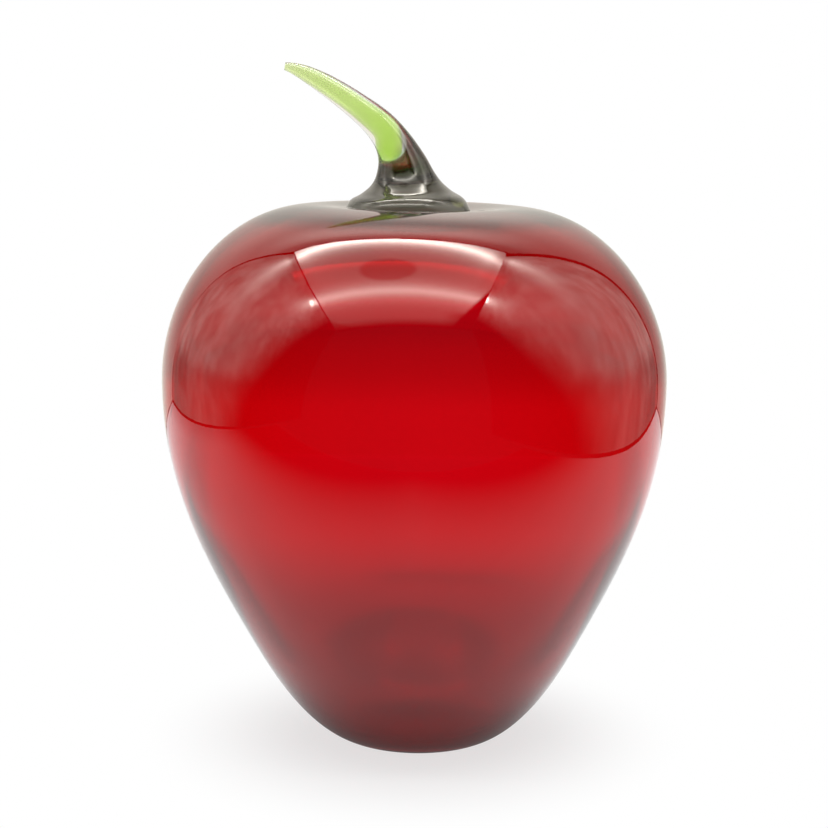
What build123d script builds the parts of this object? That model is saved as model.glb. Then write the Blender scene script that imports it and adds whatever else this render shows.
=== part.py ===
from build123d import *
import os
from math import cos, radians, sin

os.makedirs("parts", exist_ok=True)

# All sizes are in millimetres and all angles in degrees.
# The apple stands on z = 0 with its axis on Z, and the stem bends towards -X.

# Body outline, from the flat base up to the crown
base_radius = 15.1
base_edge_reach = 1.0
flank_radius = 33.6
flank_height = 19.3
flank_angle = 61.0
flank_lower_reach = 20.3
flank_upper_reach = 24.1
belly_radius = 52.5
belly_height = 76.8
belly_lower_reach = 21.7
belly_upper_reach = 17.9
crown_radius = 21.0
crown_height = 112.6
crown_outer_reach = 18.1
crown_inner_reach = 8.0
dimple_depth = 1.9
dimple_reach = 8.5

# Glass thickness and the hollow inside
wall = 1.8
floor_thickness = 2.2
floor_radius = 14.4
floor_reach = 1.4
floor_rise_reach = 18.8

# Blow hole in the crown and ground pontil hollow in the base
blow_hole_radius = 1.9
pontil_radius = 9.0
pontil_depth = 0.8

# Stem centre line, heights counted from the bottom of the dimple
root_x = -2.1
root_sink = 0.5
root_reach = 7.6
bend_x = -10.2
bend_rise = 20.6
bend_angle = 142.6
bend_lower_reach = 10.5
bend_upper_reach = 4.6
tip_x = -27.0
tip_rise = 30.0
tip_angle = 171.1
tip_reach = 5.0

# Casing: distance along the centre line, and the radius there
foot_radius = 12.6
lip_length = 3.4
lip_radius = 11.7
flare_length = 5.4
flare_radius = 9.0
ankle_length = 7.7
ankle_radius = 6.75
waist_length = 11.2
waist_radius = 5.15
neck_length = 15.0
neck_radius = 4.0
bend_length = 21.5
bend_radius = 3.15
wrist_length = 38.0
wrist_radius = 1.7
tip_radius = 0.8
casing_sections = 24

# Core: centre line set off from the casing's, with its own radii
core_start_x = -5.1
core_start_rise = 12.5
core_radius = 2.2
core_start_reach = 4.6
core_bend_x = -10.0
core_bend_rise = 20.3
core_bend_length = 10.0
core_bend_radius = 1.75
core_wrist_length = 26.0
core_wrist_radius = 1.15
core_tip_radius = 0.6
core_sections = 14


def step(point, angle, reach):
    """Point that lies a reach away from another point, in the direction of an angle."""
    return (point[0] + reach * cos(radians(angle)), point[1] + reach * sin(radians(angle)))


dimple_height = crown_height - dimple_depth
flank_point = (flank_radius, flank_height)
belly_point = (belly_radius, belly_height)
crown_point = (crown_radius, crown_height)
dimple_point = (0, dimple_height)

# Solid apple inside the outer surface, used for the body and for the seat of the stem
with BuildPart() as apple_outside:
    with BuildSketch(Plane.XZ):
        with BuildLine():
            Line((0, 0), (base_radius, 0))
            Bezier(
                (base_radius, 0),
                (base_radius + base_edge_reach, 0),
                step(flank_point, flank_angle, -flank_lower_reach),
                flank_point,
            )
            Bezier(
                flank_point,
                step(flank_point, flank_angle, flank_upper_reach),
                (belly_radius, belly_height - belly_lower_reach),
                belly_point,
            )
            Bezier(
                belly_point,
                (belly_radius, belly_height + belly_upper_reach),
                (crown_radius + crown_outer_reach, crown_height),
                crown_point,
            )
            Bezier(
                crown_point,
                (crown_radius - crown_inner_reach, crown_height),
                (dimple_reach, dimple_height),
                dimple_point,
            )
            Line(dimple_point, (0, 0))
        make_face()
    revolve(axis=Axis.Z)

# Hollow of the bubble, one wall inside the outer surface and a little more over the floor
inner_flank = step(flank_point, flank_angle + 90, wall)
inner_belly = (belly_radius - wall, belly_height)
inner_crown = (crown_radius, crown_height - wall)
inner_dimple = (0, dimple_height - wall)

with BuildPart() as apple_hollow:
    with BuildSketch(Plane.XZ):
        with BuildLine():
            Line((0, floor_thickness), (floor_radius, floor_thickness))
            Bezier(
                (floor_radius, floor_thickness),
                (floor_radius + floor_reach, floor_thickness),
                step(inner_flank, flank_angle, -floor_rise_reach),
                inner_flank,
            )
            Bezier(
                inner_flank,
                step(inner_flank, flank_angle, flank_upper_reach),
                (belly_radius - wall, belly_height - belly_lower_reach),
                inner_belly,
            )
            Bezier(
                inner_belly,
                (belly_radius - wall, belly_height + belly_upper_reach),
                (crown_radius + crown_outer_reach, crown_height - wall),
                inner_crown,
            )
            Bezier(
                inner_crown,
                (crown_radius - crown_inner_reach, crown_height - wall),
                (dimple_reach, dimple_height - wall),
                inner_dimple,
            )
            Line(inner_dimple, (0, floor_thickness))
        make_face()
    revolve(axis=Axis.Z)

# Ruby body: the hollow bubble with its blow hole and pontil hollow
with BuildPart() as apple_body:
    add(apple_outside.part)
    add(apple_hollow.part, mode=Mode.SUBTRACT)
    with BuildSketch(Plane.XY.offset(dimple_height)):
        Circle(blow_hole_radius)
    extrude(amount=wall, both=True, mode=Mode.SUBTRACT)
    with BuildSketch(Plane.XZ):
        with BuildLine():
            TangentArc((0, pontil_depth), (pontil_radius, 0), tangent=(1, 0))
            Polyline((pontil_radius, 0), (0, 0), (0, pontil_depth))
        make_face()
    revolve(axis=Axis.Z, mode=Mode.SUBTRACT)

# Centre lines of the stem and of its core
root_point = (root_x, dimple_height - root_sink)
bend_point = (bend_x, dimple_height + bend_rise)
tip_point = (tip_x, dimple_height + tip_rise)
core_point = (core_start_x, dimple_height + core_start_rise)
core_bend_point = (core_bend_x, dimple_height + core_bend_rise)

with BuildLine(Plane.XZ) as stem_line:
    Bezier(
        root_point,
        (root_x, dimple_height - root_sink + root_reach),
        step(bend_point, bend_angle, -bend_lower_reach),
        bend_point,
    )
    Bezier(
        bend_point,
        step(bend_point, bend_angle, bend_upper_reach),
        step(tip_point, tip_angle, -tip_reach),
        tip_point,
    )

with BuildLine(Plane.XZ) as core_line:
    Bezier(
        core_point,
        (core_start_x, dimple_height + core_start_rise + core_start_reach),
        step(core_bend_point, bend_angle, -core_start_reach),
        core_bend_point,
    )
    Bezier(
        core_bend_point,
        step(core_bend_point, bend_angle, bend_upper_reach),
        step(tip_point, tip_angle, -tip_reach),
        tip_point,
    )

stem_path = stem_line.wire()
core_path = core_line.wire()


def cross_plane(path, distance):
    """Plane square to a centre line at a distance along it."""
    place = path.position_at(distance, position_mode=PositionMode.LENGTH)
    heading = path.tangent_at(distance, position_mode=PositionMode.LENGTH)
    return Plane(origin=place, x_dir=(0, 1, 0), z_dir=heading)


# Radius of each rod over the distance along its centre line, drawn as a straightened outline
stem_length = stem_path.length
core_length = core_path.length

with BuildLine() as casing_outline:
    Spline(
        (0, foot_radius),
        (lip_length, lip_radius),
        (flare_length, flare_radius),
        (ankle_length, ankle_radius),
        (waist_length, waist_radius),
        (neck_length, neck_radius),
        (bend_length, bend_radius),
        (wrist_length, wrist_radius),
        (stem_length, tip_radius),
    )

with BuildLine() as core_outline:
    Spline(
        (0, core_radius),
        (core_bend_length, core_bend_radius),
        (core_wrist_length, core_wrist_radius),
        (core_length, core_tip_radius),
    )

casing_law = casing_outline.wire()
core_law = core_outline.wire()

# Lime core: a rod with a round lower end that follows the stem to its tip
with BuildPart() as stem_core:
    for station in range(core_sections):
        place = core_law @ (station / (core_sections - 1))
        with BuildSketch(cross_plane(core_path, place.X)):
            Circle(place.Y)
    loft()
    with Locations(core_path @ 0):
        Sphere(core_radius)

# Smoky casing: foot, waist and tapering arm, seated on the crown and filling the blow hole
with BuildPart() as stem_casing:
    for station in range(casing_sections):
        place = casing_law @ (station / (casing_sections - 1))
        with BuildSketch(cross_plane(stem_path, place.X)):
            Circle(place.Y)
    loft()
    add(apple_outside.part, mode=Mode.SUBTRACT)
    with BuildSketch(Plane.XY.offset(dimple_height - wall)):
        Circle(blow_hole_radius)
    extrude(amount=wall + root_sink)
    add(stem_core.part, mode=Mode.SUBTRACT)

apple_body.part.label = "apple_body"
stem_casing.part.label = "stem_casing"
stem_core.part.label = "stem_core"

export_step(apple_body.part, "parts/apple_body.step")
export_step(stem_casing.part, "parts/stem_casing.step")
export_step(stem_core.part, "parts/stem_core.step")

for piece in (apple_body, stem_casing, stem_core):
    box = piece.part.bounding_box()
    print(piece.part.label, "solids", len(piece.part.solids()), "volume", round(piece.part.volume, 1))
    print("  from", tuple(round(v, 2) for v in box.min), "to", tuple(round(v, 2) for v in box.max))
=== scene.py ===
"""Blown ruby glass apple with a smoky stem cased over a lime core, set in a white light box."""

import math
from collections import namedtuple

import bmesh
import bpy
from bpy.props import FloatProperty, FloatVectorProperty, IntProperty, PointerProperty
from bpy.types import Operator, Panel, PropertyGroup
from mathutils import Matrix, Vector
from mathutils.geometry import interpolate_bezier


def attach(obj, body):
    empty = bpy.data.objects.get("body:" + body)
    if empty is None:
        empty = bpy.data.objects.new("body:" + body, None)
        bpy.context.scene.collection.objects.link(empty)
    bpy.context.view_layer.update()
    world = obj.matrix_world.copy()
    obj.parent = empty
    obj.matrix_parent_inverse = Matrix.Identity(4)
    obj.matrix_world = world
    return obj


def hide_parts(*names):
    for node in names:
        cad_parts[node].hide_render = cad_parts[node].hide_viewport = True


bl_info = {
    "name": "Glass apple",
    "version": (1, 0, 0),
    "blender": (4, 5, 0),
    "location": "View3D > Sidebar > Glass apple",
    "description": "Builds a blown ruby glass apple with a cased stem and the light box around it",
    "category": "Object",
}

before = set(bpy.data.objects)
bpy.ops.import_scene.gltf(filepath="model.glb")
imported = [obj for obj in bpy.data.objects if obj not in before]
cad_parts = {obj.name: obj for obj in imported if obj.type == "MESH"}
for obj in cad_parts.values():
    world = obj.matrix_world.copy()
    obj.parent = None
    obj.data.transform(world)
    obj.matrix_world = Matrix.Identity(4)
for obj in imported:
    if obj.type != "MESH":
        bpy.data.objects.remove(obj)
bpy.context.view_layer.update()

MM = 0.001
MERGE_DISTANCE = 0.001 * MM

# Points on each curve of the outlines, the centre lines and the straightened stem.
OUTER_POINTS = 36
INNER_POINTS = 24
PONTIL_POINTS = 8
TRACK_POINTS = 96
CASING_POINTS = 12
CORE_POINTS = 16

# Ground hollow: the share of its radius that stays level, and the handle of its slope.
PONTIL_LEVEL = 0.5
PONTIL_SLOPE = (0.75, 0.5)

# Heavy shoulder, by distance from the axis: where the extra glass sets in, where it goes over
# into a thinner wall and where the wall is even again, with the shares of those two changes.
HEAVY_START = (0.008, 0.030)
HEAVY_THIN = (0.034, 0.046)
HEAVY_EVEN = (0.046, 0.0507)
HEAVY_DROP = 2.04
HEAVY_RETURN = 1.04

# How fast the base's lean fades upwards.
LEAN_POWER = 1.4

# Stem: height over the dimple where the drawn foot starts, the rings that close its sole as
# shares of its width, and the turns of the core's round end in degrees.
FOOT_START = 0.75 * MM
SOLE_RINGS = (0.8, 0.6, 0.4, 0.2, 0.05)
ROUND_END_TURNS = (2, 8, 16, 25, 35, 45, 55, 65, 75, 83)


def length(label, text, millimetres):
    """A length property, in metres, from a default in millimetres."""
    return FloatProperty(
        name=label, description=text, default=millimetres * MM, unit="LENGTH", precision=5
    )


def distance_to(mark, millimetres):
    """Length property of the distance along the stem to a mark."""
    return length(f"{mark} distance", f"Distance to the {mark.lower()}", millimetres)


def radius_at(mark, millimetres):
    """Length property of the radius at a mark."""
    return length(f"{mark} radius", f"Radius at the {mark.lower()}", millimetres)


def angle(label, text, degrees):
    """An angle property from a default in degrees."""
    return FloatProperty(
        name=label, description=text, default=math.radians(degrees), subtype="ANGLE"
    )


def colour(label, text, value):
    """A linear colour property."""
    return FloatVectorProperty(
        name=label, description=text, default=value, size=3, subtype="COLOR", min=0, max=1
    )


def amount(label, text, value):
    """A plain number property."""
    return FloatProperty(name=label, description=text, default=value)


class AppleBodySizes(PropertyGroup):
    """Sizes of the blown body."""

    base_radius: length("Base radius", "Outer radius of the flat ring the apple stands on", 15.1)
    base_edge_reach: length("Base edge reach", "How far the outline stays level past the base", 1.0)
    flank_radius: length("Flank radius", "Radius at the foot of the flank", 33.6)
    flank_height: length("Flank height", "Height of the foot of the flank", 19.3)
    flank_angle: angle("Flank angle", "Slope of the outline at the foot of the flank", 61.0)
    flank_lower_reach: length("Flank lower reach", "Handle below the foot of the flank", 20.3)
    flank_upper_reach: length("Flank upper reach", "Handle above the foot of the flank", 24.1)
    belly_radius: length("Belly radius", "Widest radius", 52.5)
    belly_height: length("Belly height", "Height of the widest point", 76.8)
    belly_lower_reach: length("Belly lower reach", "Handle below the belly", 21.7)
    belly_upper_reach: length("Belly upper reach", "Handle above the belly", 17.9)
    crown_radius: length("Crown radius", "Radius of the crown's ridge", 21.0)
    crown_height: length("Crown height", "Height of the crown's ridge", 112.6)
    crown_outer_reach: length("Crown outer reach", "Handle outside the ridge", 18.1)
    crown_inner_reach: length("Crown inner reach", "Handle inside the ridge", 8.0)
    dimple_depth: length("Dimple depth", "Depth of the dimple below the ridge", 1.9)
    dimple_reach: length("Dimple reach", "Handle at the bottom of the dimple", 8.5)
    wall: length("Wall", "Thickness of the glass at the belly", 1.8)
    crown_wall: length("Crown wall", "Thickness of the glass at the crown", 1.8)
    shoulder_radius: length("Shoulder radius", "Radius of the hollow at the shoulder", 36.05)
    shoulder_height: length("Shoulder height", "Height of the hollow at the shoulder", 105.92)
    shoulder_angle: angle("Shoulder angle", "Slope of the hollow at the shoulder", 145.39)
    shoulder_lower_reach: length("Shoulder lower reach", "Handle below the shoulder", 9.06)
    shoulder_upper_reach: length("Shoulder upper reach", "Handle above the shoulder", 6.11)
    hollow_belly_reach: length("Hollow belly reach", "Hollow's handle above the belly", 13.04)
    hollow_crown_reach: length("Hollow crown reach", "Hollow's handle outside the ridge", 4.97)
    floor_thickness: length("Floor thickness", "Thickness of the floor", 2.2)
    floor_radius: length("Floor radius", "Flat radius of the floor inside", 14.4)
    floor_reach: length("Floor reach", "Handle at the edge of the inside floor", 1.4)
    floor_rise_reach: length("Floor rise reach", "Handle where the floor meets the flank", 18.8)
    pontil_radius: length("Pontil radius", "Radius of the ground hollow under the base", 9.0)
    pontil_depth: length("Pontil depth", "Depth of the ground hollow under the base", 0.3)
    heavy: length("Heavy shoulder", "Extra glass inside the front of the shoulder", 0.48)
    heavy_from: angle("Heavy from", "Turn from the front up to which the shoulder is heavy", 30)
    heavy_to: angle("Heavy to", "Turn from the front where the wall is even again", 58)
    lean: length("Lean", "How far the hand-blown base stands off the axis", 1.18)
    lean_height: length("Lean height", "Height above which the body no longer leans", 72.0)
    crown_tilt: angle("Crown tilt", "Tilt of the hand-blown crown towards +X", 0.47)
    tilt_low: length("Tilt start", "Height where the crown's tilt sets in", 60.0)
    tilt_high: length("Tilt end", "Height from which the crown's tilt is whole", 108.0)
    steps: IntProperty(
        name="Steps", description="Divisions round the axis", default=192, min=32, max=256
    )


class AppleStemSizes(PropertyGroup):
    """Sizes of the stem's casing and core, heights counted from the bottom of the dimple."""

    root_x: length("Root place", "Where the stem stands, across the crown", -2.1)
    root_sink: length("Root sink", "How far the stem's line starts below the dimple", 0.5)
    root_reach: length("Root reach", "Handle at the root", 7.6)
    bend_x: length("Bend place", "Where the stem bends over, across", -10.2)
    bend_rise: length("Bend rise", "Height of the bend", 20.6)
    bend_angle: angle("Bend angle", "Heading of the stem at the bend", 142.6)
    bend_lower_reach: length("Bend lower reach", "Handle below the bend", 10.5)
    bend_upper_reach: length("Bend upper reach", "Handle above the bend", 4.6)
    tip_x: length("Tip place", "Where the stem ends, across", -27.0)
    tip_rise: length("Tip rise", "Height of the tip", 30.0)
    tip_angle: angle("Tip angle", "Heading of the stem at its tip", 171.1)
    tip_reach: length("Tip reach", "Handle at the tip", 5.0)
    foot_radius: length("Foot radius", "Radius of the flared foot", 12.6)
    lip_length: distance_to("Lip", 3.4)
    lip_radius: radius_at("Lip", 11.7)
    flare_length: distance_to("Flare", 5.4)
    flare_radius: radius_at("Flare", 9.0)
    ankle_length: distance_to("Ankle", 7.7)
    ankle_radius: radius_at("Ankle", 6.75)
    waist_length: distance_to("Waist", 11.2)
    waist_radius: radius_at("Waist", 5.15)
    neck_length: distance_to("Neck", 15.0)
    neck_radius: radius_at("Neck", 4.0)
    bend_length: distance_to("Bend", 21.5)
    bend_radius: radius_at("Bend", 3.15)
    wrist_length: distance_to("Wrist", 38.0)
    wrist_radius: radius_at("Wrist", 1.7)
    tip_radius: length("Tip radius", "Radius of the snipped tip", 0.8)
    core_start_x: length("Core place", "Where the core starts, across", -5.3)
    core_start_rise: length("Core rise", "Height where the core starts", 12.5)
    core_start_reach: length("Core reach", "Handle at the core's start", 4.6)
    core_radius: length("Core radius", "Radius of the core's round lower end", 2.2)
    core_bend_x: length("Core bend place", "Where the core bends over, across", -10.2)
    core_bend_rise: length("Core bend rise", "Height of the core's bend", 20.6)
    core_bend_length: distance_to("Core bend", 10.0)
    core_bend_radius: radius_at("Core bend", 1.55)
    core_wrist_length: distance_to("Core wrist", 26.0)
    core_wrist_radius: radius_at("Core wrist", 1.0)
    core_tip_radius: length("Core tip radius", "Radius of the core at the tip", 0.6)
    foot_drift: length("Foot drift", "How far the foot's lip runs out to +X", 1.0)
    seat_gap: length("Seat gap", "Gap between the foot and the crown", 0.05)
    steps: IntProperty(
        name="Steps", description="Divisions round the stem", default=96, min=24, max=192
    )


class AppleFinish(PropertyGroup):
    """Colours of the three glasses: what each lets through, and the tints of its surface."""

    ruby: colour("Ruby", "What a wall of ruby glass lets through", (0.945, 0.02, 0.28))
    ruby_depth: amount("Ruby depth", "How strongly the ruby glass absorbs, per metre", 1900.0)
    ruby_tint: colour("Ruby tint", "Surface of the ruby glass", (0.97, 0.85, 0.85))
    smoke: colour("Smoke", "What the smoky glass lets through", (0.60, 0.58, 0.50))
    smoke_depth: amount("Smoke depth", "How strongly the smoky glass absorbs, per metre", 20.0)
    smoke_tint: colour("Smoke tint", "Olive grey of the stem's foot", (0.145, 0.134, 0.106))
    spill_tint: colour("Spill tint", "Green below the core's round end", (0.11, 0.31, 0.07))
    # Painted reflection: grey on the foot's rim.
    rim_reflection_tint: colour("Rim tint", "Grey at the foot's rim", (0.24, 0.23, 0.18))
    spot_tint: colour("Spot tint", "Pale spot on the foot", (0.42, 0.42, 0.20))
    arm_tint: colour("Arm tint", "Clear casing over the core", (1.0, 1.0, 0.97))
    swirl_tint: colour("Swirl tint", "Swirls in the smoky glass", (0.35, 0.34, 0.28))
    lime: colour("Lime", "What the lime glass lets through", (0.72, 0.985, 0.02))
    lime_depth: amount("Lime depth", "How strongly the lime glass absorbs, per metre", 360.0)
    lime_tint: colour("Lime tint", "Core at its round end", (0.60, 0.98, 0.10))
    lime_arm_tint: colour("Pale lime tint", "Core along the arm", (0.88, 0.98, 0.64))
    lime_cloud_tint: colour("Lime cloud tint", "Clouds in the core", (0.58, 0.86, 0.16))


class AppleStage(PropertyGroup):
    """Camera of the stage."""

    camera_distance: length("Camera distance", "Level distance from the axis to the camera", 389.2)
    camera_height: length("Camera height", "Height of the camera over the floor", 133.8)
    aim_height: length("Aim height", "Height of the point the camera looks at", 69.0)
    camera_roll: angle("Camera roll", "Tilt of the camera about its own axis", 0.55)
    lens: amount("Lens", "Focal length in millimetres on a 36 mm sensor", 81.54)


# ---- Outlines and shells ----


def at(x, z):
    """Point of the XZ plane."""
    return Vector((x, 0, z))


def polar(point, heading, reach):
    """Point of the XZ plane a reach away from another, in a heading."""
    return point + Vector((math.cos(heading), 0, math.sin(heading))) * reach


def step_between(value, low, high):
    """Smooth step of a value from nothing at low to one at high."""
    share = min(max((value - low) / (high - low), 0.0), 1.0)
    return share * share * (3.0 - 2.0 * share)


def bezier_chain(curves, resolution):
    """Points along a chain of curves, each given as knot, handle, handle, knot."""
    chain = []
    for curve in curves:
        run = interpolate_bezier(*curve, resolution)
        chain += run if not chain else run[1:]
    return chain


def outer_outline(s):
    """Outer outline of the body, from the base to the bottom of the dimple."""
    dimple = s.crown_height - s.dimple_depth
    flank = at(s.flank_radius, s.flank_height)
    flank_below = polar(flank, s.flank_angle, -s.flank_lower_reach)
    flank_above = polar(flank, s.flank_angle, s.flank_upper_reach)
    belly = at(s.belly_radius, s.belly_height)
    belly_below = at(s.belly_radius, s.belly_height - s.belly_lower_reach)
    belly_above = at(s.belly_radius, s.belly_height + s.belly_upper_reach)
    crown = at(s.crown_radius, s.crown_height)
    crown_outside = at(s.crown_radius + s.crown_outer_reach, s.crown_height)
    crown_inside = at(s.crown_radius - s.crown_inner_reach, s.crown_height)
    curves = [
        (at(s.base_radius, 0), at(s.base_radius + s.base_edge_reach, 0), flank_below, flank),
        (flank, flank_above, belly_below, belly),
        (belly, belly_above, crown_outside, crown),
        (crown, crown_inside, at(s.dimple_reach, dimple), at(0, dimple)),
    ]
    return bezier_chain(curves, OUTER_POINTS)


def inner_outline(s):
    """Outline of the hollow, from the inside floor to the underside of the dimple."""
    floor = at(s.floor_radius, s.floor_thickness)
    floor_edge = at(s.floor_radius + s.floor_reach, s.floor_thickness)
    flank = polar(at(s.flank_radius, s.flank_height), s.flank_angle + math.pi / 2, s.wall)
    flank_below = polar(flank, s.flank_angle, -s.floor_rise_reach)
    flank_above = polar(flank, s.flank_angle, s.flank_upper_reach)
    belly_radius = s.belly_radius - s.wall
    belly = at(belly_radius, s.belly_height)
    belly_below = at(belly_radius, s.belly_height - s.belly_lower_reach)
    belly_above = at(belly_radius, s.belly_height + s.hollow_belly_reach)
    shoulder = at(s.shoulder_radius, s.shoulder_height)
    shoulder_below = polar(shoulder, s.shoulder_angle, -s.shoulder_lower_reach)
    shoulder_above = polar(shoulder, s.shoulder_angle, s.shoulder_upper_reach)
    crown_height = s.crown_height - s.crown_wall
    crown = at(s.crown_radius, crown_height)
    crown_outside = at(s.crown_radius + s.hollow_crown_reach, crown_height)
    crown_inside = at(s.crown_radius - s.crown_inner_reach, crown_height)
    dimple = s.crown_height - s.dimple_depth - s.crown_wall
    curves = [
        (floor, floor_edge, flank_below, flank),
        (flank, flank_above, belly_below, belly),
        (belly, belly_above, shoulder_below, shoulder),
        (shoulder, shoulder_above, crown_outside, crown),
        (crown, crown_inside, at(s.dimple_reach, dimple), at(0, dimple)),
    ]
    return bezier_chain(curves, INNER_POINTS)


def pontil_outline(s):
    """Outline of the ground hollow under the base, from the axis to the flat ring."""
    return interpolate_bezier(
        at(0, s.pontil_depth),
        at(s.pontil_radius * PONTIL_LEVEL, s.pontil_depth),
        at(s.pontil_radius * PONTIL_SLOPE[0], s.pontil_depth * PONTIL_SLOPE[1]),
        at(s.pontil_radius, 0),
        PONTIL_POINTS,
    )


def spun(points, steps):
    """Surface of revolution about Z from an outline that starts and ends on the axis."""
    shell = bmesh.new()
    knots = [shell.verts.new(p) for p in points]
    edges = [shell.edges.new(pair) for pair in zip(knots, knots[1:])]
    bmesh.ops.spin(
        shell,
        geom=knots + edges,
        cent=(0, 0, 0),
        axis=(0, 0, 1),
        angle=2 * math.pi,
        steps=steps,
        use_merge=True,
    )
    bmesh.ops.remove_doubles(shell, verts=shell.verts[:], dist=MERGE_DISTANCE)
    bmesh.ops.recalc_face_normals(shell, faces=shell.faces[:])
    return shell


def gather(hollow, s):
    """Gathers glass at the front of the shoulder: the hollow drawn in there and let out below."""
    hollow.normal_update()
    moves = []
    for v in hollow.verts:
        if v.co.z < s.belly_height:
            continue
        reach = math.hypot(v.co.x, v.co.y)
        turn = abs(math.atan2(v.co.x, -v.co.y))
        front = 1.0 - step_between(turn, s.heavy_from, s.heavy_to)
        start = step_between(reach, *HEAVY_START)
        thin = step_between(reach, *HEAVY_THIN)
        even = step_between(reach, *HEAVY_EVEN)
        extra = s.heavy * (start - HEAVY_DROP * thin + HEAVY_RETURN * even)
        moves.append((v, v.normal * (extra * front)))
    for v, move in moves:
        v.co -= move


def settle(shell, s):
    """Gives a shell of the body its hand-blown lean and the tilt of its crown."""
    for v in shell.verts:
        low = min(max(1.0 - v.co.z / s.lean_height, 0.0), 1.0)
        tilt = step_between(v.co.z, s.tilt_low, s.tilt_high)
        v.co.z -= math.tan(s.crown_tilt) * v.co.x * tilt
        v.co.x += s.lean * low**LEAN_POWER


def piece_from(shell, name, material):
    """Object at the origin from a finished shell, shaded smooth."""
    for face in shell.faces:
        face.smooth = True
    mesh = bpy.data.meshes.new(name)
    shell.to_mesh(mesh)
    shell.free()
    mesh.materials.append(material)
    piece = bpy.data.objects.new(name, mesh)
    bpy.context.scene.collection.objects.link(piece)
    return piece


def dress(piece, node):
    """Rides a piece on the root body in place of its node."""
    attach(piece, "root")
    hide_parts(node)


class Track:
    """A centre line with places and headings by distance."""

    def __init__(self, points):
        self.points = points
        self.marks = [0.0]
        for a, b in zip(points, points[1:]):
            self.marks.append(self.marks[-1] + (b - a).length)

    def section(self, distance):
        """Matrix at a distance, whose Z runs along the line and whose X is the scene's Y."""
        clamped = min(max(distance, 0.0), self.marks[-1])
        k = max(i for i, m in enumerate(self.marks[:-1]) if m <= clamped)
        a, b = self.points[k], self.points[k + 1]
        share = (clamped - self.marks[k]) / (self.marks[k + 1] - self.marks[k])
        before = self.points[max(k - 1, 0)]
        after = self.points[min(k + 2, len(self.points) - 1)]
        heading = (b - before).normalized().lerp((after - a).normalized(), share).normalized()
        spot = a.lerp(b, share) + heading * (distance - clamped)
        side = Vector((0, 1, 0))
        across = heading.cross(side)
        turned = Matrix((side, across, heading)).transposed().to_4x4()
        return Matrix.Translation(spot) @ turned


def bent_track(s, dimple, start, start_reach, bend, bend_reach):
    """Centre line straight up from a start, over a bend and out to the stem's tip."""
    tip = at(s.tip_x, dimple + s.tip_rise)
    upright = start + Vector((0, 0, start_reach))
    bend_below = polar(bend, s.bend_angle, -bend_reach)
    bend_above = polar(bend, s.bend_angle, s.bend_upper_reach)
    tip_before = polar(tip, s.tip_angle, -s.tip_reach)
    curves = [(start, upright, bend_below, bend), (bend, bend_above, tip_before, tip)]
    return Track(bezier_chain(curves, TRACK_POINTS))


def casing_track(s, dimple):
    """Centre line of the casing."""
    root = at(s.root_x, dimple - s.root_sink)
    bend = at(s.bend_x, dimple + s.bend_rise)
    return bent_track(s, dimple, root, s.root_reach, bend, s.bend_lower_reach)


def core_track(s, dimple):
    """Centre line of the core."""
    start = at(s.core_start_x, dimple + s.core_start_rise)
    bend = at(s.core_bend_x, dimple + s.core_bend_rise)
    return bent_track(s, dimple, start, s.core_start_reach, bend, s.core_start_reach)


def smooth_outline(pairs, resolution):
    """Straightened outline through distance and radius pairs, as a smooth curve."""
    line = bpy.data.curves.new("straightened_outline", "CURVE")
    line.dimensions = "2D"
    line.resolution_u = resolution
    spline = line.splines.new("BEZIER")
    spline.bezier_points.add(len(pairs) - 1)
    for knot, (distance, radius) in zip(spline.bezier_points, pairs):
        knot.co = (distance, radius, 0)
        knot.handle_left_type = knot.handle_right_type = "AUTO"
    holder = bpy.data.objects.new("straightened_outline", line)
    mesh = bpy.data.meshes.new_from_object(holder)
    points = [tuple(v.co[:2]) for v in mesh.vertices]
    bpy.data.objects.remove(holder)
    bpy.data.curves.remove(line)
    bpy.data.meshes.remove(mesh)
    return points


def draw_on(shell, edges):
    """Draws a ring of edges on: the vertices and edges of the new ring, still in its place."""
    drawn = bmesh.ops.extrude_edge_only(shell, edges=edges)["geom"]
    verts = [g for g in drawn if isinstance(g, bmesh.types.BMVert)]
    ring = set(verts)
    edges = [g for g in drawn if isinstance(g, bmesh.types.BMEdge) and ring.issuperset(g.verts)]
    return verts, edges


def rod(track, stations, steps):
    """Round rod along a track, closed at its tip: the shell and its open first ring."""
    shell = bmesh.new()
    distance, radius = stations[0]
    matrix = track.section(distance) @ Matrix.Scale(radius, 4)
    bmesh.ops.create_circle(shell, segments=steps, radius=1.0, matrix=matrix)
    edges = first = shell.edges[:]
    for distance, radius in stations[1:]:
        ring, edges = draw_on(shell, edges)
        onward = track.section(distance) @ Matrix.Scale(radius, 4)
        bmesh.ops.transform(shell, matrix=onward @ matrix.inverted(), verts=ring)
        matrix = onward
    bmesh.ops.edgeloop_fill(shell, edges=edges)
    return shell, first


def close_sole(shell, ring, s):
    """Closes the casing's sole with rings drawn in towards the root."""
    for share in SOLE_RINGS:
        verts, ring = draw_on(shell, ring)
        for v in verts:
            v.co.x = s.root_x + (v.co.x - s.root_x) * share
            v.co.y = v.co.y * share
    bmesh.ops.edgeloop_fill(shell, edges=ring)


def seat_height(seat, reach):
    """Height of the crown's dimple at a distance from the axis."""
    for a, b in zip(seat, seat[1:]):
        if b.x <= reach <= a.x:
            share = (reach - b.x) / max(a.x - b.x, 1e-9)
            return b.z + (a.z - b.z) * share
    return seat[0].z if reach > seat[0].x else seat[-1].z


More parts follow.
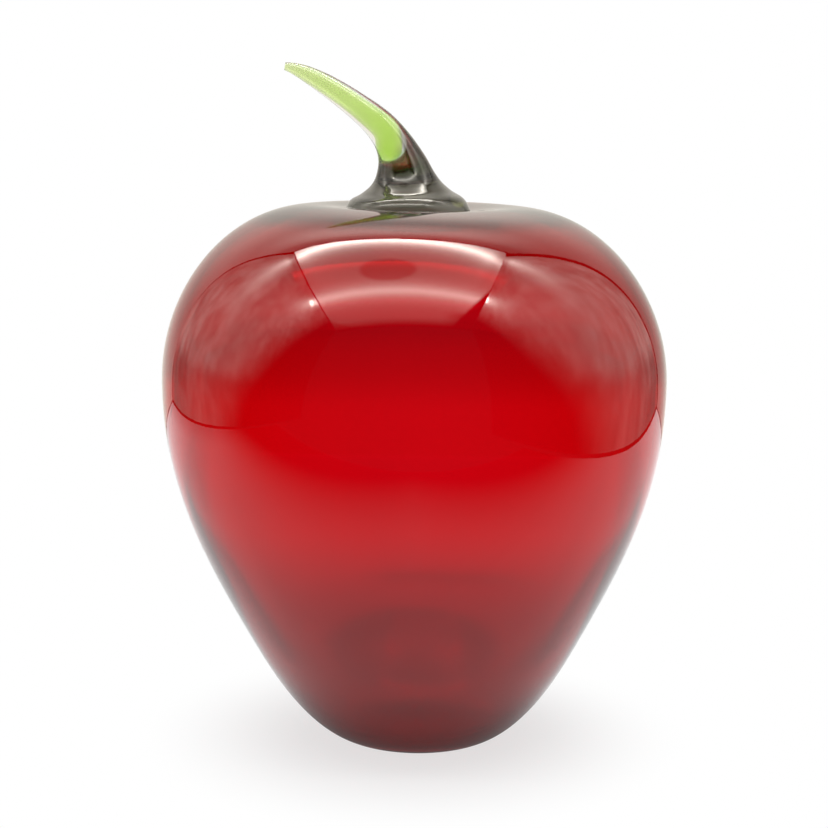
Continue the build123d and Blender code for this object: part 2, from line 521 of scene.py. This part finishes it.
def seat_foot(shell, body, s, dimple):
    """Lets the foot's lip run out to +X and seats the foot on the tilted crown."""
    seat = outer_outline(body)[-(OUTER_POINTS + 1):]
    ankle = dimple + s.ankle_length - s.root_sink
    for v in shell.verts:
        out = step_between(v.co.x, s.root_x, s.root_x + s.foot_radius)
        v.co.x += s.foot_drift * out * (1.0 - step_between(v.co.z, dimple, ankle))
        reach = math.hypot(v.co.x, v.co.y)
        low = seat_height(seat, reach) - math.tan(body.crown_tilt) * v.co.x + s.seat_gap
        if v.co.z < low:
            v.co.z = low


# ---- Node helpers ----

# Most of a noise texture lies in this span.
NOISE_SPAN = (0.3, 0.7)


def fill(node, inputs):
    """Sets inputs of a node, and links those that are given a socket."""
    for name, value in inputs.items():
        if isinstance(value, bpy.types.NodeSocket):
            node.id_data.links.new(value, node.inputs[name])
        else:
            node.inputs[name].default_value = value
    return node


def add_node(tree, kind, inputs=None):
    """New shader node of a kind with its inputs filled."""
    return fill(tree.nodes.new(f"ShaderNode{kind}"), inputs or {})


def blank_material(name):
    """Material with an empty node tree, and its output node."""
    material = bpy.data.materials.new(name)
    material.use_nodes = True
    tree = material.node_tree
    tree.nodes.clear()
    return material, tree, add_node(tree, "OutputMaterial")


def place(tree, scale=(1, 1, 1)):
    """Object coordinates, scaled."""
    whole = add_node(tree, "TexCoord").outputs["Object"]
    return add_node(tree, "Mapping", {"Vector": whole, "Scale": scale}).outputs["Vector"]


def light_path(tree):
    """Outputs that tell what kind of ray arrives."""
    return add_node(tree, "LightPath").outputs


def separate(vector):
    """X, Y and Z of a vector."""
    return add_node(vector.id_data, "SeparateXYZ", {"Vector": vector}).outputs[:]


def calculate(operation, a, b=0.0):
    """Math node on two values, at least one of them a socket."""
    tree = b.id_data if isinstance(a, (int, float)) else a.id_data
    node = add_node(tree, "Math", {0: a, 1: b})
    node.operation = operation
    return node.outputs["Value"]


def total(*parts):
    """Sum of values."""
    whole = parts[0]
    for part in parts[1:]:
        whole = calculate("ADD", whole, part)
    return whole


def product(*parts):
    """Product of values."""
    whole = parts[0]
    for part in parts[1:]:
        whole = calculate("MULTIPLY", whole, part)
    return whole


def rest_of(share):
    """One less a share."""
    return calculate("SUBTRACT", 1.0, share)


def magnitude(value):
    """A value without its sign."""
    return calculate("ABSOLUTE", value)


def line_of(variable, start, slope):
    """Start plus slope times a variable."""
    return total(product(variable, slope), start)


def remap(value, low, high, to_low=0.0, to_high=1.0, smooth=True):
    """Value mapped from one range to another."""
    ends = {"From Min": low, "From Max": high, "To Min": to_low, "To Max": to_high}
    node = add_node(value.id_data, "MapRange", {"Value": value, **ends})
    node.interpolation_type = "SMOOTHSTEP" if smooth else "LINEAR"
    return node.outputs["Result"]


def vector_math(operation, vector, other=(0, 0, 0)):
    """Outputs of a vector math node on a socket and a fixed vector."""
    node = add_node(vector.id_data, "VectorMath", {0: vector, 1: other})
    node.operation = operation
    return node.outputs


def noise(vector, scale, detail=2.0):
    """Noise texture output."""
    inputs = {"Vector": vector, "Scale": scale, "Detail": detail}
    return add_node(vector.id_data, "TexNoise", inputs).outputs["Fac"]


def mottle(grain, low, high):
    """Noise spread out from low to high."""
    return remap(grain, *NOISE_SPAN, low, high)


def ridge(across, centre, width, peak, sharpness=1.0):
    """Soft bright band: highest on its centre line and falling off to both sides."""
    offset = calculate("DIVIDE", calculate("SUBTRACT", across, centre), width)
    spread = total(product(offset, offset), 1.0)
    return calculate("DIVIDE", peak, calculate("POWER", spread, sharpness))


def blob(vector, centre, radii):
    """Soft round patch: one at its centre and nothing beyond its radii."""
    shifted = vector_math("SUBTRACT", vector, centre)["Vector"]
    scaled = vector_math("DIVIDE", shifted, radii)["Vector"]
    size = vector_math("LENGTH", scaled)["Value"]
    return remap(size, 0.0, 1.0, 1.0, 0.0)


def blend_colours(share, a, b):
    """Mix of two colours, each a value or a socket."""
    a, b = (c if isinstance(c, bpy.types.NodeSocket) else (*c, 1.0) for c in (a, b))
    mix = add_node(share.id_data, "Mix")
    mix.data_type = "RGBA"
    return fill(mix, {"Factor": share, 6: a, 7: b}).outputs[2]


def bump(height, strength, distance):
    """Bump normal from a height."""
    inputs = {"Height": height, "Strength": strength, "Distance": distance}
    return add_node(height.id_data, "Bump", inputs).outputs["Normal"]


# ---- The three glasses ----

GLASS_IOR = 1.5
BLACK = (0.0, 0.0, 0.0)

# The core's bow as the casing covers it: centre, radius and the blur of its edge.
CORE_BOW_CENTRE = (-0.0221, 0, 0.1176)
CORE_BOW_RADIUS = 0.0206
CORE_BOW_BLUR = 0.0004

# Patches on the stem's foot, each a centre and radii.
SPILL_PATCH = ((-0.002, 0.0, 0.1203), (0.007, 0.02, 0.0046))
SPOT_PATCH = ((0.0088, -0.006, 0.1143), (0.0034, 0.008, 0.0030))

# The core is opal and fused in: little of its light is refracted, and its skin is faint.
LIME_TRANSMISSION = 0.25
LIME_ALPHA = 0.22
LIME_IOR = 1.0


def glass(output):
    """Clear glass shader on an output."""
    inputs = {"Transmission Weight": 1.0, "IOR": GLASS_IOR, "Roughness": 0.0}
    shader = add_node(output.id_data, "BsdfPrincipled", inputs)
    fill(output, {"Surface": shader.outputs["BSDF"]})
    return shader


def absorb(output, tint, density):
    """Even absorption inside the glass."""
    inputs = {"Color": (*tint, 1.0), "Density": density}
    volume = add_node(output.id_data, "VolumeAbsorption", inputs)
    fill(output, {"Volume": volume.outputs["Volume"]})


def ruby_glass(finish):
    """Blown ruby glass: darker at the foot, with painted shade round the stem except at the back,
    and faint streaks and waves.
    """
    material, tree, output = blank_material("ruby_glass")
    shader = glass(output)
    absorb(output, finish.ruby, finish.ruby_depth)
    vector = place(tree)
    _, y, z = separate(vector)
    foot = remap(z, 0.002, 0.030, 0.70, 1.0)
    # Painted shade: the crown's dip round the stem is darkened, but not at the back.
    crown = remap(z, 0.1085, 0.1112, 0.0, -0.85)
    not_behind = remap(y, 0.012, 0.020, 1.0, 0.0)
    dimple = total(product(crown, not_behind), 1.0)
    streaks = mottle(noise(place(tree, (1, 1, 0.35)), 28.0, 3.0), 0.97, 1.03)
    shade = blend_colours(product(foot, dimple, streaks), BLACK, finish.ruby_tint)
    frosted_foot = remap(z, 0.004, 0.026, 0.22, 0.0)
    waves = noise(vector, 22.0, 1.0)
    fill(shader, {"Base Color": shade, "Roughness": frosted_foot})
    fill(shader, {"Normal": bump(waves, 0.05, 0.004)})
    return material


def over_core(x, y, z):
    """Share of the casing that covers the core: within the core's bow or out along the arm."""
    flat = add_node(x.id_data, "CombineXYZ", {"X": x, "Z": z}).outputs["Vector"]
    bow = vector_math("DISTANCE", flat, CORE_BOW_CENTRE)["Value"]
    behind = remap(y, -0.001, 0.001, 0.0, 0.0016)
    edge = (CORE_BOW_RADIUS - CORE_BOW_BLUR, CORE_BOW_RADIUS + CORE_BOW_BLUR)
    inside = remap(total(bow, behind), *edge, 1.0, 0.0)
    along_arm = remap(x, -0.0028, -0.0044)
    above_end = remap(z, 0.1206, 0.1215)
    return product(calculate("MAXIMUM", inside, along_arm), above_end)


def smoke_glass(finish):
    """Smoky glass: olive grey and swirled in the foot, green below the core, clear over it, with a
    painted grey reflection on the foot's rim.
    """
    material, tree, output = blank_material("smoke_glass")
    shader = glass(output)
    absorb(output, finish.smoke, finish.smoke_depth)
    vector = place(tree)
    x, y, z = separate(vector)
    spill = remap(blob(vector, *SPILL_PATCH), 0.1, 0.6)
    # Painted reflection: the foot's rim turns grey and lets less light through.
    rim = remap(z, 0.1142, 0.1130)
    spot = remap(blob(vector, *SPOT_PATCH), 0.3, 0.6)
    clear = over_core(x, y, z)
    swirl = mottle(noise(place(tree, (1, 1, 0.5)), 120.0), 0.0, 0.15)
    swirl = product(swirl, remap(clear, 0.0, 1.0, 1.0, 0.3))
    shade = blend_colours(spill, finish.smoke_tint, finish.spill_tint)
    shade = blend_colours(rim, shade, finish.rim_reflection_tint)
    shade = blend_colours(spot, shade, finish.spot_tint)
    shade = blend_colours(clear, shade, finish.arm_tint)
    shade = blend_colours(swirl, shade, finish.swirl_tint)
    frosted_arm = remap(x, -0.004, -0.012, 0.04, 0.08)
    rim_reflection_share = remap(rim, 0.0, 1.0, 1.0, 0.45)
    waves = noise(vector, 60.0, 1.0)
    fill(shader, {"Base Color": shade, "Roughness": frosted_arm})
    fill(shader, {"Transmission Weight": rim_reflection_share, "Normal": bump(waves, 0.05, 0.002)})
    return material


def lime_glass(finish):
    """Opal lime glass fused into the casing, so that only its colour shows: paler on the arm."""
    material, tree, output = blank_material("lime_glass")
    shader = glass(output)
    fill(shader, {"Transmission Weight": LIME_TRANSMISSION, "Alpha": LIME_ALPHA})
    fill(shader, {"IOR": LIME_IOR, "Specular IOR Level": 0.0})
    absorb(output, finish.lime, finish.lime_depth)
    vector = place(tree)
    x, _, _ = separate(vector)
    arm = remap(x, -0.005, -0.022)
    cloud = product(mottle(noise(vector, 260.0, 3.0), 0.0, 0.5), 0.4)
    shade = blend_colours(arm, finish.lime_tint, finish.lime_arm_tint)
    shade = blend_colours(cloud, shade, finish.lime_cloud_tint)
    fill(shader, {"Base Color": shade})
    return material


# ---- The light box ----

LAMP_WHITE = (1.0, 0.95, 0.86, 1)
PURE_WHITE = (1, 1, 1, 1)
FLOOR_WHITE = (0.9, 0.9, 0.9, 1)

# World: level on matt surfaces, level in mirrors, and what is lost once light has been mirrored.
SOFT_LEVEL = 0.40
MIRROR_LEVEL = 0.03
MIRROR_LOSS = 0.9

# Corners of the floor and the four cloth panels.
FLOOR_Z = -0.0002
FLOOR_CORNERS = (
    (-0.324, -0.20, FLOOR_Z),
    (0.202, -0.20, FLOOR_Z),
    (0.305, 0.31, FLOOR_Z),
    (-0.324, 0.31, FLOOR_Z),
)
LEFT_CORNERS = (
    (-0.325, -0.30, 0.003), (-0.325, 0.316, 0.003), (-0.384, 0.213, 0.664), (-0.52, -0.622, 0.664)
)
RIGHT_CORNERS = (
    (0.186, -0.30, 0.003), (0.308, 0.31, 0.003), (0.284, 0.118, 0.678), (0.364, -0.632, 0.678)
)
BACK_CORNERS = (
    (-0.33, 0.316, 0.0), (0.304, 0.316, 0.0), (0.284, 0.160, 0.66), (-0.388, 0.245, 0.66)
)
TOP_CORNERS = (
    (-0.378, 0.239, 0.67), (0.276, 0.153, 0.67), (0.356, -0.642, 0.67), (-0.516, -0.642, 0.67)
)

# Soft patches of painted light and shade on the floor and the panels, each a centre and radii; on
# the floor, a painted shadow arch and a lighter patch, seen through the apple.
FLOOR_SHADOW_ARCH = ((0.0, 0.060, 0.0), (0.038, 0.060, 1.0))
FLOOR_LIFT = ((0.0, 0.047, 0.0), (0.034, 0.036, 1.0))
BACK_PALE = ((0.015, 0.30, 0.26), (0.11, 1.0, 0.14))
BACK_GLOW = ((-0.06, 0.22, 0.500), (0.42, 1.0, 0.145))
TOP_HOLE = ((-0.09, -0.112, 0.67), (0.21, 0.19, 1))

# Light that a lamp's end throws down a side panel: its line, its width low and high, its
# brightness, the height of its top, how fast it fades downwards, and what is left at the top.
Streak = namedtuple("Streak", "start slope wide narrow peak top power end")
LEFT_STREAKS = (
    Streak(0.015, -0.42, 0.085, 0.038, 12.0, 0.61, 5.5, 1.0),
    Streak(-0.033, 0.29, 0.060, 0.038, 6.0, 0.56, 2.6, 0.3),
)
RIGHT_STREAKS = (
    Streak(-0.025, -0.40, 0.075, 0.040, 10.5, 0.60, 4.5, 1.0),
    Streak(-0.053, 0.20, 0.055, 0.040, 6.0, 0.53, 2.6, 0.4),
)

# Bright end of the front lamp on each side panel.
LEFT_LAMP_END = (-0.45, -0.235, 0.600)
RIGHT_LAMP_END = (0.33, -0.285, 0.655)
LAMP_END_RADII = (1.0, 0.036, 0.040)
LAMP_END_LEVEL = 26.0

# Lamp strips over the box.
Strip = namedtuple("Strip", "name centre across deep turn brightness")
STRIPS = (
    Strip("back_strip", (-0.05, 0.175, 0.665), 0.64, 0.07, -11, 14.0),
    Strip("front_strip", (-0.05, -0.27, 0.665), 0.66, 0.07, -4, 8.0),
)


def glowing(output, strength):
    """Warm white glow of a strength on an output."""
    glow = add_node(output.id_data, "Emission", {"Color": LAMP_WHITE, "Strength": strength})
    fill(output, {"Surface": glow.outputs["Emission"]})


def floor_in_mirror(x, y, reach):
    """Level of the floor in reflections: dim at the open front and under the apple."""
    bay = line_of(magnitude(x), y, -0.30)
    near = remap(bay, -0.20, -0.06, 0.0, 0.90)
    far = remap(bay, -0.06, 0.20, 0.0, 0.30)
    under = remap(reach, 0.016, 0.042, 0.22, 1.0)
    left = remap(x, -0.33, -0.24, 0.65, 1.0)
    return product(total(near, far), under, left)


def floor_through_glass(vector, x, y, reach):
    """Level of the floor through the apple: dusky near it, with a dim arch and dim flanks."""
    near = remap(reach, 0.080, 0.19, 0.48, 0.92)
    far = remap(reach, 0.20, 0.32, 0.0, 0.08)
    arch = remap(blob(vector, *FLOOR_SHADOW_ARCH), 0.22, 0.50, 1.0, 0.76)
    lift = remap(blob(vector, *FLOOR_LIFT), 0.10, 0.60, 1.0, 1.13)
    rise = line_of(y, -0.055, 1.0)
    ring = calculate("SQRT", total(product(x, x), product(rise, rise)))
    band = product(
        ridge(ring, 0.074, 0.012, -0.20, 2.0),
        remap(x, -0.022, -0.002),
        remap(x, 0.046, 0.022),
    )
    arch = product(arch, lift, total(band, 1.0))
    beside = line_of(y, magnitude(x), -0.45)
    limb = product(
        remap(beside, 0.005, 0.019, 0.0, -0.72),
        remap(y, 0.16, 0.11),
        remap(y, 0.03, 0.05),
    )
    return product(total(near, far), arch, total(limb, 1.0))


def floor_white():
    """Matt white floor with a soft shadow for the eye, and its own levels in and through glass."""
    material, tree, output = blank_material("floor_white")
    vector = place(tree)
    x, y, _ = separate(vector)
    reach = vector_math("LENGTH", vector)["Value"]
    rays = light_path(tree)
    eye, through = rays["Is Camera Ray"], rays["Is Transmission Ray"]
    mirrored = calculate("GREATER_THAN", rays["Is Glossy Ray"], total(through, 0.5))
    scattered = calculate("GREATER_THAN", rays["Diffuse Depth"], 0.5)
    shadow = remap(reach, 0.02, 0.060, 0.70, 1.0)
    share = total(product(eye, shadow), mirrored, through)
    dusk = floor_through_glass(vector, x, y, reach)
    dusk = calculate("MAXIMUM", dusk, scattered)
    mirror = floor_in_mirror(x, y, reach)
    level = total(eye, product(mirrored, mirror), product(through, dusk))
    matt = add_node(tree, "BsdfDiffuse", {"Color": FLOOR_WHITE}).outputs["BSDF"]
    white = add_node(tree, "Emission", {"Color": PURE_WHITE, "Strength": level}).outputs["Emission"]
    mix = add_node(tree, "MixShader", {"Fac": share, 1: matt, 2: white})
    fill(output, {"Surface": mix.outputs["Shader"]})
    return material


def lamp_streak(y, z, streak):
    """Level of a streak of lamp light down a side panel."""
    rise = calculate("POWER", calculate("DIVIDE", z, streak.top), streak.power)
    lift = product(rise, remap(z, 0.58, 0.64, 1.0, streak.end), streak.peak)
    width = remap(z, 0.40, 0.62, streak.wide, streak.narrow, smooth=False)
    return ridge(y, line_of(z, streak.start, streak.slope), width, lift, 2.0)


def side_white(name, streaks, lamp_end):
    """Cloth of a side panel: fades to the open front and the floor, lit by the lamps' ends."""
    material, tree, output = blank_material(name)
    vector = place(tree)
    _, y, z = separate(vector)
    lower = remap(z, 0.07, 0.12, 0.45, 1.0)
    opening = remap(line_of(z, y, 0.64), -0.09, 0.05)
    rear = remap(y, 0.08, 0.30, 1.0, 0.6)
    folds = mottle(noise(vector, 14.0, 3.0), 0.76, 1.24)
    weave = mottle(noise(place(tree, (1, 1, 0.4)), 40.0), 0.84, 1.16)
    cloth = product(folds, weave)
    upper = remap(z, 0.42, 0.52, 1.15, 0.90)
    level = product(lower, opening, rear, cloth, upper)
    for streak in streaks:
        level = total(level, product(lamp_streak(y, z, streak), opening))
    glare = product(blob(vector, lamp_end, LAMP_END_RADII), LAMP_END_LEVEL)
    glowing(output, total(level, glare))
    return material


def back_in_mirror(vector, x, z):
    """Level of the back cloth in reflections: brightest below the back lamp, dim at its sides."""
    low = remap(z, 0.02, 0.12, 1.05, 0.82)
    rise = remap(z, 0.14, 0.30, 0.0, 0.42)
    hem = remap(z, 0.54, 0.60, 0.0, -0.28)
    pale = product(blob(vector, *BACK_PALE), 0.42)
    glow = product(blob(vector, *BACK_GLOW), 1.35)
    left = remap(x, -0.36, -0.12, 0.68, 1.0)
    right = remap(x, 0.08, 0.30, 1.0, 0.5)
    return product(total(low, rise, hem, pale, glow), product(left, right))


def back_through_glass(x, z):
    """Level of the back cloth through the apple: dusky in belts, brighter high in the middle."""
    low = remap(z, 0.016, 0.043, 1.0, 0.57)
    belt = remap(z, 0.048, 0.060, 0.0, 0.09)
    shade = remap(z, 0.086, 0.106, 0.0, -0.10)
    upper_shade = remap(z, 0.124, 0.142, 0.0, -0.10)
    middle = remap(magnitude(x), 0.055, 0.085, 0.72, 0.0)
    high = product(remap(z, 0.150, 0.210), middle)
    return total(low, belt, shade, upper_shade, high)


def back_white():
    """Cloth behind the apple, dusky where it shows through the hollow body."""
    material, tree, output = blank_material("back_white")
    vector = place(tree)
    x, _, z = separate(vector)
    rays = light_path(tree)
    through = rays["Is Transmission Ray"]
    one_piece = calculate("LESS_THAN", rays["Transmission Depth"], 2.5)
    straight = calculate("LESS_THAN", rays["Glossy Depth"], 0.5)
    scattered = calculate("GREATER_THAN", rays["Diffuse Depth"], 0.5)
    plain = calculate("MAXIMUM", product(one_piece, straight), scattered)
    dusk = calculate("MAXIMUM", back_through_glass(x, z), plain)
    mirrored = product(back_in_mirror(vector, x, z), rest_of(through))
    glowing(output, total(mirrored, product(dusk, through)))
    return material


def top_white():
    """Cloth over the apple with the two lamps shining through it and a round hole."""
    material, tree, output = blank_material("top_white")
    vector = place(tree)
    x, y, _ = separate(vector)
    bow = product(x, line_of(x, -0.265, -0.70))
    left_end = remap(x, -0.42, -0.36, 0.4, 1.0)
    right_end = remap(x, 0.22, 0.28, 1.0, 0.45)
    peak = product(left_end, right_end, 18.0)
    back_lamp = ridge(y, total(bow, 0.168), 0.040, peak)
    front_lamp = ridge(y, line_of(x, -0.290, -0.06), 0.045, 7.8)
    through = light_path(tree)["Is Transmission Ray"]
    dimmed = remap(through, 0.0, 1.0, 1.0, 0.35)
    lamps = product(total(back_lamp, front_lamp), dimmed)
    hole = remap(blob(vector, *TOP_HOLE), 0.45, 0.62, 1.0, 0.5)
    front = remap(y, -0.640, -0.52)
    right_cut = remap(line_of(y, x, -0.2), 0.340, 0.364, 1.0, 0.0)
    fray = product(remap(x, 0.13, 0.26, 0.0, -0.65), remap(y, -0.43, -0.49))
    right_cut = product(right_cut, total(fray, 1.0))
    left_cut = remap(line_of(y, x, 0.857), -0.945, -0.875, 0.4, 1.0)
    level = product(total(lamps, 0.75), hole, front, right_cut, left_cut)
    glowing(output, level)
    return material


def set_camera(s):
    """Camera at the photograph's angle."""
    lens = bpy.data.cameras.new("photo_camera")
    lens.sensor_width = 36.0
    lens.lens = s.lens
    lens.clip_start = 0.01
    camera = bpy.data.objects.new("photo_camera", lens)
    bpy.context.scene.collection.objects.link(camera)
    eye = Vector((0, -s.camera_distance, s.camera_height))
    aim = Vector((0, 0, s.aim_height))
    turn = (aim - eye).to_track_quat("-Z", "Y").to_matrix().to_4x4()
    roll = Matrix.Rotation(s.camera_roll, 4, "Z")
    camera.matrix_world = Matrix.Translation(eye) @ turn @ roll
    bpy.context.scene.camera = camera
    bpy.context.scene.view_settings.view_transform = "Standard"


def set_world():
    """White to the eye and through the glass, dim in reflections, soft on matt surfaces."""
    world = bpy.data.worlds.new("light_box_air")
    bpy.context.scene.world = world
    world.use_nodes = True
    tree = world.node_tree
    tree.nodes.clear()
    rays = light_path(tree)
    glossy = rays["Is Glossy Ray"]
    seen = calculate("MAXIMUM", rays["Is Camera Ray"], rays["Is Transmission Ray"])
    soft = product(rest_of(seen), rest_of(glossy))
    turned = calculate("MINIMUM", rays["Glossy Depth"], 1.0)
    unscattered = calculate("LESS_THAN", rays["Diffuse Depth"], 0.5)
    clear = rest_of(product(turned, unscattered, MIRROR_LOSS))
    strength = total(
        product(seen, clear),
        product(soft, SOFT_LEVEL),
        product(glossy, MIRROR_LEVEL),
    )
    air = add_node(tree, "Background", {"Color": PURE_WHITE, "Strength": strength})
    add_node(tree, "OutputWorld", {"Surface": air.outputs["Background"]})


def sheet_of(name, corners, material):
    """Flat four-cornered sheet."""
    shell = bmesh.new()
    shell.faces.new([shell.verts.new(c) for c in corners])
    return piece_from(shell, name, material)


def hang_strip(strip):
    """Lamp strip over the box, which lights matt surfaces and is not seen itself."""
    lamp = bpy.data.lights.new(strip.name, "AREA")
    lamp.shape = "RECTANGLE"
    lamp.size = strip.across
    lamp.size_y = strip.deep
    lamp.energy = strip.brightness * math.pi * strip.across * strip.deep
    holder = bpy.data.objects.new(strip.name, lamp)
    bpy.context.scene.collection.objects.link(holder)
    turn = Matrix.Rotation(math.radians(strip.turn), 4, "Z")
    holder.matrix_world = Matrix.Translation(strip.centre) @ turn
    holder.visible_camera = holder.visible_glossy = holder.visible_transmission = False


# ---- Operators, panel and registration ----


class GLASSAPPLE_OT_body(Operator):
    """Blows the ruby body: outer wall, hollow, floor and ground base"""

    bl_idname = "glass_apple.body"
    bl_label = "Ruby body"

    def execute(self, context):
        s = context.scene.glass_apple_body
        shell = spun(pontil_outline(s) + outer_outline(s), s.steps)
        hollow = spun([at(0, s.floor_thickness)] + inner_outline(s), s.steps)
        gather(hollow, s)
        bmesh.ops.reverse_faces(hollow, faces=hollow.faces[:])
        inside = bpy.data.meshes.new("hollow")
        hollow.to_mesh(inside)
        hollow.free()
        shell.from_mesh(inside)
        bpy.data.meshes.remove(inside)
        settle(shell, s)
        material = ruby_glass(context.scene.glass_apple_finish)
        dress(piece_from(shell, "ruby_body", material), "apple_body")
        return {"FINISHED"}


class GLASSAPPLE_OT_core(Operator):
    """Draws the lime core with its round lower end"""

    bl_idname = "glass_apple.core"
    bl_label = "Lime core"

    def execute(self, context):
        body = context.scene.glass_apple_body
        s = context.scene.glass_apple_stem
        track = core_track(s, body.crown_height - body.dimple_depth)
        pairs = [
            (0, s.core_radius),
            (s.core_bend_length, s.core_bend_radius),
            (s.core_wrist_length, s.core_wrist_radius),
            (track.marks[-1] - s.seat_gap, s.core_tip_radius),
        ]
        turns = [math.radians(d) for d in ROUND_END_TURNS]
        round_end = [(-s.core_radius * math.cos(t), s.core_radius * math.sin(t)) for t in turns]
        shell, first = rod(track, round_end + smooth_outline(pairs, CORE_POINTS), s.steps)
        bmesh.ops.edgeloop_fill(shell, edges=first)
        bmesh.ops.recalc_face_normals(shell, faces=shell.faces[:])
        material = lime_glass(context.scene.glass_apple_finish)
        dress(piece_from(shell, "lime_core", material), "stem_core")
        return {"FINISHED"}


class GLASSAPPLE_OT_casing(Operator):
    """Draws the smoky casing of the stem, with its flared foot seated on the crown"""

    bl_idname = "glass_apple.casing"
    bl_label = "Smoky casing"

    def execute(self, context):
        body = context.scene.glass_apple_body
        s = context.scene.glass_apple_stem
        dimple = body.crown_height - body.dimple_depth
        track = casing_track(s, dimple)
        pairs = [
            (0, s.foot_radius),
            (s.lip_length, s.lip_radius),
            (s.flare_length, s.flare_radius),
            (s.ankle_length, s.ankle_radius),
            (s.waist_length, s.waist_radius),
            (s.neck_length, s.neck_radius),
            (s.bend_length, s.bend_radius),
            (s.wrist_length, s.wrist_radius),
            (track.marks[-1], s.tip_radius),
        ]
        start = s.root_sink + FOOT_START
        stations = [p for p in smooth_outline(pairs, CASING_POINTS) if p[0] > start]
        shell, first = rod(track, stations, s.steps)
        close_sole(shell, first, s)
        seat_foot(shell, body, s, dimple)
        bmesh.ops.recalc_face_normals(shell, faces=shell.faces[:])
        material = smoke_glass(context.scene.glass_apple_finish)
        dress(piece_from(shell, "smoky_casing", material), "stem_casing")
        return {"FINISHED"}


class GLASSAPPLE_OT_stage(Operator):
    """Sets the camera, the pale floor, the light box panels and its lamps"""

    bl_idname = "glass_apple.stage"
    bl_label = "Stage and camera"

    def execute(self, context):
        set_camera(context.scene.glass_apple_stage)
        set_world()
        floor = sheet_of("floor", FLOOR_CORNERS, floor_white())
        left_cloth = side_white("left_white", LEFT_STREAKS, LEFT_LAMP_END)
        left = sheet_of("left_panel", LEFT_CORNERS, left_cloth)
        right_cloth = side_white("right_white", RIGHT_STREAKS, RIGHT_LAMP_END)
        right = sheet_of("right_panel", RIGHT_CORNERS, right_cloth)
        back = sheet_of("back_panel", BACK_CORNERS, back_white())
        top = sheet_of("top_panel", TOP_CORNERS, top_white())
        for panel in (left, right, back, top):
            panel.visible_camera = panel.visible_diffuse = panel.visible_shadow = False
            panel.visible_transmission = panel in (top, back)
        for strip in STRIPS:
            hang_strip(strip)
        return {"FINISHED"}


class GLASSAPPLE_PT_sidebar(Panel):
    """Glass apple tools"""

    bl_idname = "GLASSAPPLE_PT_sidebar"
    bl_label = "Glass apple"
    bl_space_type = "VIEW_3D"
    bl_region_type = "UI"
    bl_category = "Glass apple"

    def draw(self, context):
        for step in STEPS:
            self.layout.operator(step.bl_idname)
        for holder in HOLDERS:
            box = self.layout.box()
            group = getattr(context.scene, holder)
            for key in group.__annotations__:
                box.prop(group, key)


HOLDERS = {
    "glass_apple_body": AppleBodySizes,
    "glass_apple_stem": AppleStemSizes,
    "glass_apple_finish": AppleFinish,
    "glass_apple_stage": AppleStage,
}
STEPS = (GLASSAPPLE_OT_body, GLASSAPPLE_OT_core, GLASSAPPLE_OT_casing, GLASSAPPLE_OT_stage)
CLASSES = (*HOLDERS.values(), *STEPS, GLASSAPPLE_PT_sidebar)


def register():
    """Adds the classes and their settings."""
    for item in CLASSES:
        bpy.utils.register_class(item)
    for holder, group in HOLDERS.items():
        setattr(bpy.types.Scene, holder, PointerProperty(type=group))


def unregister():
    """Takes the classes and their settings away."""
    for holder in HOLDERS:
        delattr(bpy.types.Scene, holder)
    for item in reversed(CLASSES):
        bpy.utils.unregister_class(item)


def main():
    """Builds the apple and its stage."""
    register()
    bpy.ops.glass_apple.body()
    bpy.ops.glass_apple.core()
    bpy.ops.glass_apple.casing()
    bpy.ops.glass_apple.stage()


if __name__ == "__main__":
    main()
